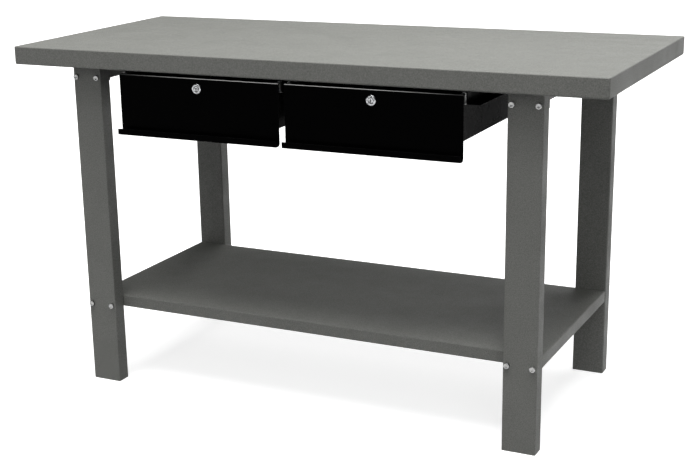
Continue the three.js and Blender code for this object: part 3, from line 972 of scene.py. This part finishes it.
# %% Make the locks
def lock_barrel(side):
    low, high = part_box(f"{side}_lock_barrel")
    bezel, barrel, bore_radius = (high.x - low.x) / 2, 9.5 * MM, 6.55 * MM
    seat, face = low.y + 2.5 * MM, low.y
    rings = [(face + 0.5 * MM, bore_radius)]
    rings += [(face + 0.1 * MM, bore_radius + 0.4 * MM), (face, bore_radius + 1 * MM)]
    for i in range(7):
        angle = math.radians(15 * i)
        rings.append((face + 1.8 * MM * (1 - math.cos(angle)), bezel - 2.2 * MM * (1 - math.sin(angle))))
    rings += [(seat, bezel), (seat, barrel)]
    pitch, depth = 1 * MM, 0.32 * MM
    for i in range(1, 30):
        deep = depth if i % 2 else 0
        rings.append((seat + i * pitch / 2, barrel - deep))
    rings += [(high.y, barrel - 0.4 * MM), (high.y, bore_radius)]
    centre = middle_of(f"{side}_lock_plug")
    made = turned(f"{side}_lock_body", rings, 64, ring_shaped=True)
    made.transform(Matrix.Translation((centre.x, 0, centre.z)))
    return made


def lock_plug(side):
    low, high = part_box(f"{side}_lock_plug")
    centre = (low + high) / 2
    radius, tail, shoulder = 6.2 * MM, 4 * MM, high.y - 5 * MM
    rings = [(low.y + 0.15 * MM, 3.2 * MM), (low.y + 0.15 * MM, 4.9 * MM)]
    rings += [(low.y, 5.2 * MM), (low.y, 5.7 * MM), (low.y + 0.5 * MM, radius)]
    rings += [(shoulder, radius), (shoulder, tail), (high.y, tail)]
    made = turned("plug", rings, 64)
    made.transform(Matrix.Translation((centre.x, 0, centre.z)))
    ahead, deep = low.y - 1 * MM, low.y + 6 * MM
    x, z = centre.x, centre.z
    keyhole = slab((x - 0.9 * MM, ahead, z - 4 * MM), (x + 0.9 * MM, deep, z + 3.2 * MM))
    ward = slab((x - 1.7 * MM, ahead, z - 0.8 * MM), (x + 0.5 * MM, deep, z + 0.4 * MM))
    for cutter in (keyhole, ward):
        made = bore(made, cutter)
    made.name = f"{side}_lock_turning_plug"
    return made


def hex_nut(across, height, hole, sides=48):
    """Nut about the Y axis, from y = 0 to its height, with both faces chamfered to a circle."""
    corner, flat = across / math.sqrt(3), across / 2 * 0.97
    drop = (corner - across / 2) * math.tan(math.radians(30))
    rings = [(0, hole + 0.3 * MM), (0, flat)]
    for share in (0.35, 0.7, 1.0):
        rings.append((drop * share, hexagon(across, flat + (corner - flat) * share)))
    for share in (1.0, 0.7, 0.35):
        rings.append((height - drop * share, hexagon(across, flat + (corner - flat) * share)))
    rings += [(height, flat), (height, hole + 0.3 * MM), (height - 0.3 * MM, hole), (0.3 * MM, hole)]
    return turned("nut", rings, sides, ring_shaped=True)


for side in SIDES:
    body, lock = f"{side}_drawer", f"{side}_lock"
    fit(lock_barrel(side), CHROME, body, [f"{lock}_barrel"], edge=0)
    fit(lock_plug(side), CHROME, lock, [f"{lock}_plug"], edge=0.12 * MM)
    low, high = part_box(f"{lock}_nut")
    centre = (low + high) / 2
    nut = moved(hex_nut(24 * MM, high.y - low.y, 9.9 * MM), (centre.x, low.y, centre.z))
    nut.name = f"{lock}_ring_nut"
    fit(nut, ZINC, body, [f"{lock}_nut"], edge=0)
print("locks:", size_of("left_lock_barrel"))

# %% [markdown]
# The cam is a flat stamped bar. A hexagon screw with a washer holds it on the plug's tail, and both turn
# with the plug. The bar keeps the frame's shape and only gets softer edges.

# %% Make the cams
def hex_head(across, height):
    """Bolt head from its seat at y = 0 forward to -height, its crown chamfered to a circle."""
    corner, flat = across / math.sqrt(3), across / 2 * 0.95
    drop = (corner - flat) * math.tan(math.radians(30))
    rings = [(0, flat), (-0.3 * MM, flat), (-0.3 * MM, hexagon(across, corner))]
    for share in (1.0, 0.75, 0.5, 0.25):
        rings.append((-(height - drop * share), hexagon(across, flat + (corner - flat) * share)))
    rings += [(-height, flat), (-height, across * 0.30), (-height + 0.25 * MM, across * 0.26)]
    return rings


def washer(outer, inner, thickness):
    rings = [(0, inner), (0, outer), (thickness, outer), (thickness, inner)]
    return turned("washer", rings, 40, ring_shaped=True)


HALF_TURN = Matrix.Rotation(math.pi, 4, "Z")
for side in SIDES:
    lock = f"{side}_lock"
    cam = frame["nodes"][f"{lock}_cam"]
    cam.data.materials.clear()
    cam.data.materials.append(ROLLED[0])
    soften(cam, 0.3 * MM, 2)
    centre, back = middle_of(f"{lock}_plug"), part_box(f"{lock}_cam")[1].y
    ring = moved(washer(5.5 * MM, 4.1 * MM, 0.9 * MM), (centre.x, back + 0.1 * MM, centre.z))
    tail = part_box(f"{lock}_plug")[1].y
    head = moved(turned("head", hex_head(7 * MM, 2.2 * MM), 48), (centre.x, tail, centre.z), HALF_TURN)
    fit(joined(f"{lock}_cam_screw", [ring, head]), ZINC, lock, edge=0)
print("cams:", size_of("left_lock_cam"))

# %% [markdown]
# ## Leg bolts
# Sixteen hexagon bolts hold the legs to the beams and to the shelf. The thread is real: the radius of the
# shank rises and falls along a helix, which a turned piece can follow because a ring's radius may depend
# on the angle. Only the end past the nut is threaded this finely, since the rest is out of sight.

# %% Make the bolts, washers and nuts
THREAD_PITCH = 1.25 * MM
THREAD_DEPTH = 0.62 * MM
HEAD_ACROSS = 13 * MM
HEAD_HEIGHT = 5.3 * MM
PLAY = 0.3 * MM  # between the clamped pieces
WASHER_ROOM = 1.5 * MM


def thread(along, start):
    """Radius function of the shank's thread at one place along it."""
    def radius(angle):
        phase = ((along - start) / THREAD_PITCH - angle / (2 * math.pi)) % 1
        return BOLT_RADIUS - THREAD_DEPTH * (1 - abs(2 * phase - 1))
    return radius


def hex_bolt(length, threaded=18 * MM):
    rings = hex_head(HEAD_ACROSS, HEAD_HEIGHT)[::-1]
    rings += [(0, BOLT_RADIUS), (length - threaded, BOLT_RADIUS)]
    steps = round(threaded / (THREAD_PITCH / 5))
    for i in range(1, steps):
        along = length - threaded + threaded * i / steps
        rings.append((along, thread(along, length - threaded)))
    core = BOLT_RADIUS - THREAD_DEPTH
    rings += [(length - 0.6 * MM, core), (length, core - 0.5 * MM)]
    return turned("hex_bolt", rings, 48)


low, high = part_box(BOLTS[0])
BOLT = hex_bolt(high.y - low.y - HEAD_HEIGHT)
NUT = joined("nut", [hex_nut(HEAD_ACROSS, 6.5 * MM, BOLT_RADIUS - 0.1 * MM),
                     moved(washer(8 * MM, 4.3 * MM, 1.4 * MM), (0, -1.45 * MM, 0))])


def clamped_behind(node):
    """How far behind the bolt's seat its nut sits: past the leg and the plate or sheet behind it."""
    end, side, level = node.split("_")[1:4]
    leg_low, leg_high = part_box(f"leg_{end}_{side}")
    behind = BEAM_PLATE if level == "beam" else SHELF_SHEET
    return leg_high.y - leg_low.y + behind + (PLAY + PLAY + WASHER_ROOM)


for i, node in enumerate(BOLTS):
    low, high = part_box(node)
    front_bolt = node.split("_")[1] == "front"
    seat = low.y + HEAD_HEIGHT if front_bolt else high.y - HEAD_HEIGHT
    about = Matrix.Identity(4) if front_bolt else HALF_TURN
    spin = Matrix.Rotation(math.radians(23 * i % 60), 4, "Y")
    place = Vector(((low.x + high.x) / 2, seat, (low.z + high.z) / 2))
    made = moved(BOLT, place, about @ spin)
    made.name = f"{node}_hex"
    fit(made, ZINC, "bench", [node], edge=0)
    deep = Vector((0, clamped_behind(node) * (1 if front_bolt else -1), 0))
    made = moved(NUT, place + deep, about @ spin)
    made.name = node.replace("bolt_", "nut_")
    fit(made, ZINC, "bench", edge=0)
print("bolts and nuts:", len(BOLTS), "of each, bolt", size_of(BOLTS[0]))

# %% [markdown]
# ## Floor and light
# A pale floor runs far past the frame on every side. Most of its brightness is a glow of its own, so
# it stays nearly white under the bench, and the bench takes no diffuse light from it. One wide sun
# overhead stands for the ceiling of soft boxes, so its shadows have soft edges. A soft panel adds a lift
# over the middle of the top. Two weaker suns stand for soft boxes behind the bench and ahead of it, and a
# dim even surround keeps the shaded sides from going black.

# %% The floor
FLOOR_REACH = 40.0
FLOOR_GLOW = 0.75


def pale_floor():
    material, tree, shader = new_finish("pale_floor", specular=0.1)
    clouded = spread(tree, grain(tree, 0.8, detail=2), 0, 1)
    colour = blend(tree, clouded, (0.74, 0.74, 0.74), (0.78, 0.78, 0.78))
    connect(tree, shader, colour, spread(tree, clouded, 0.85, 0.95))
    shader.inputs["Emission Color"].default_value = (1, 1, 1, 1)
    shader.inputs["Emission Strength"].default_value = FLOOR_GLOW
    return material


floor_ring = [(x * FLOOR_REACH, y * FLOOR_REACH, 0) for x, y in ((-1, -1), (1, -1), (1, 1), (-1, 1))]
floor = bpy.data.objects.new("studio_floor", mesh_of("studio_floor", floor_ring, [(0, 1, 2, 3)]))
bpy.context.scene.collection.objects.link(floor)
floor.data.materials.append(pale_floor())
floor.visible_diffuse = False


# %% The lights
def light(name, kind, strength, place, target, **settings):
    lamp = bpy.data.lights.new(name, kind)
    lamp.energy = strength
    for key, value in settings.items():
        setattr(lamp, key, value)
    holder = bpy.data.objects.new(name, lamp)
    bpy.context.scene.collection.objects.link(holder)
    towards = Vector(target) - Vector(place)
    aim(holder, place, towards, (0, 1, 0.01))


light("ceiling", "SUN", 2.9, (0.0, -0.8, 6.0), (0, 0, 0), angle=math.radians(45))
light("panel", "AREA", 12, (0.25, -0.35, 2.2), (0.25, -0.2, 0.85), shape="RECTANGLE", size=1.6, size_y=0.8)
light("back_soft_box", "SUN", 0.9, (0.5, 3.0, 2.1), (0, 0, 0), angle=math.radians(50))
light("front_soft_box", "SUN", 0.65, (1.0, -3.0, 2.0), (0, 0, 0), angle=math.radians(50))
world = bpy.data.worlds.new("surround")
world.use_nodes = True
world.node_tree.nodes["Background"].inputs["Color"].default_value = (0.95, 0.97, 1.0, 1)
world.node_tree.nodes["Background"].inputs["Strength"].default_value = 0.06
bpy.context.scene.world = world
bpy.context.scene.view_settings.view_transform = "Standard"

# %% [markdown]
# ## Check the size and finish
# The finished pieces may not outgrow the frame, so both boxes are written down side by side.

# %% Write both boxes and finish
def plain(box):
    return [[float(c) for c in corner] for corner in box]
